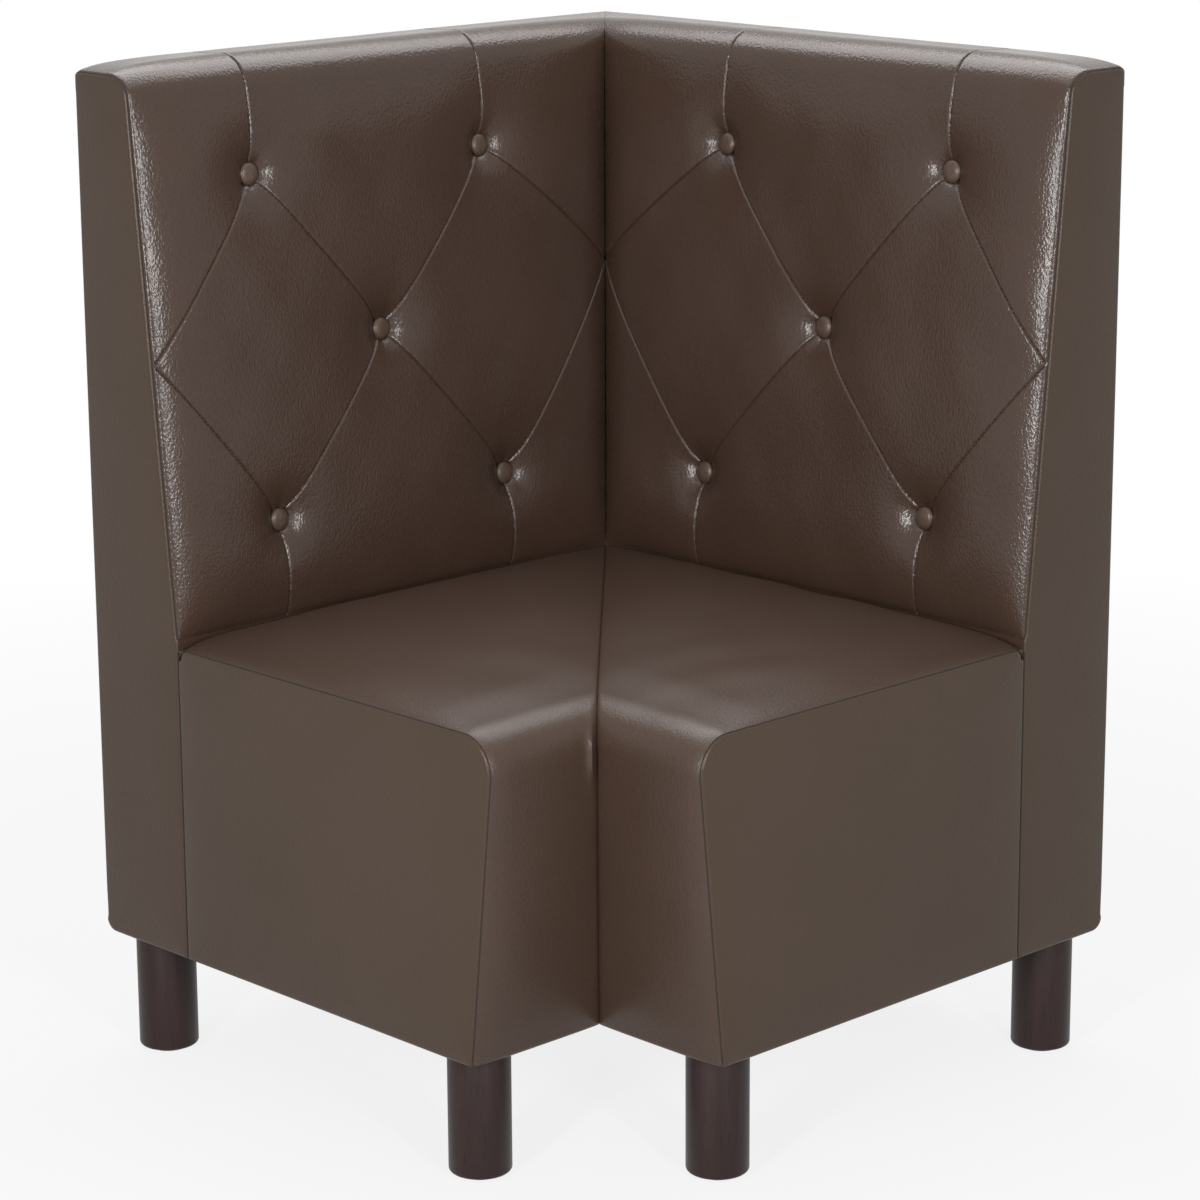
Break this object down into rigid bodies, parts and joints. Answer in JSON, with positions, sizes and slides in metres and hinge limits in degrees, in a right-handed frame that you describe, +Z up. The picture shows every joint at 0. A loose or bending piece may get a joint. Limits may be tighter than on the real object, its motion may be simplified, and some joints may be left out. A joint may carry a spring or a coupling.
{
  "type": "corner bench",
  "caption": "Upholstered corner bench with buttoned high backs, a mitred padded seat and round wooden legs.",
  "frame": {"origin": "centre of the square footprint at floor level, under the legs' glides", "axes": "+Z up; the left back stands along the -X side and the right back along the +Y side, so the walls' corner is at (-X, +Y) and the seat's open corner faces (+X, -Y)"},
  "size_m": [0.715, 0.715, 1],
  "materials": {
    "leather": "fine grained artificial leather, satin",
    "leg_wood": "dark stained beech, satin lacquer",
    "glide_plastic": "matte",
    "dust_cloth": "non-woven cloth",
    "plywood": "raw plywood",
    "hardboard": "raw hardboard",
    "foam": "open cell foam",
    "twine": "waxed twine",
    "steel": "zinc plated"
  },
  "bodies": {
    "root": {"left_back_cheek": "plywood", "right_back_cheek": "plywood", "left_back_top_rail": "plywood", "right_back_top_rail": "plywood", "left_back_middle_rail": "plywood", "right_back_middle_rail": "plywood", "left_back_ledge_rail": "plywood", "right_back_ledge_rail": "plywood", "left_back_bottom_rail": "plywood", "right_back_bottom_rail": "plywood", "corner_post": "plywood", "corner_block": "plywood", "left_back_board": "plywood", "right_back_board": "plywood", "left_back_foam": "foam", "right_back_foam": "foam", "left_back_quilt": "leather", "right_back_quilt": "leather", "left_back_end_cover": "leather", "right_back_end_cover": "leather", "left_rear_board": "hardboard", "right_rear_board": "hardboard", "left_rear_cover": "leather", "right_rear_cover": "leather", "left_back_buttons": "leather", "right_back_buttons": "leather", "left_button_twines": "twine", "right_button_twines": "twine", "left_button_anchors": "steel", "right_button_anchors": "steel", "left_seat_end_board": "plywood", "right_seat_end_board": "plywood", "left_seat_front_board": "plywood", "right_seat_front_board": "plywood", "left_seat_rear_board": "plywood", "right_seat_rear_board": "plywood", "left_seat_deck": "plywood", "right_seat_deck": "plywood", "diagonal_brace": "plywood", "left_leg_block": "plywood", "right_leg_block": "plywood", "left_seat_foam": "foam", "right_seat_foam": "foam", "left_seat_cover": "leather", "right_seat_cover": "leather", "left_seat_end_cover": "leather", "right_seat_end_cover": "leather", "dust_cover": "dust_cloth", "left_rear_leg": "leg_wood", "left_front_leg": "leg_wood", "corner_leg": "leg_wood", "right_front_leg": "leg_wood", "right_rear_leg": "leg_wood", "leg_bolts": "steel", "leg_inserts": "steel", "leg_glides": "glide_plastic", "joining_bolts": "steel", "joining_inserts": "steel"}
  },
  "joints": []
}
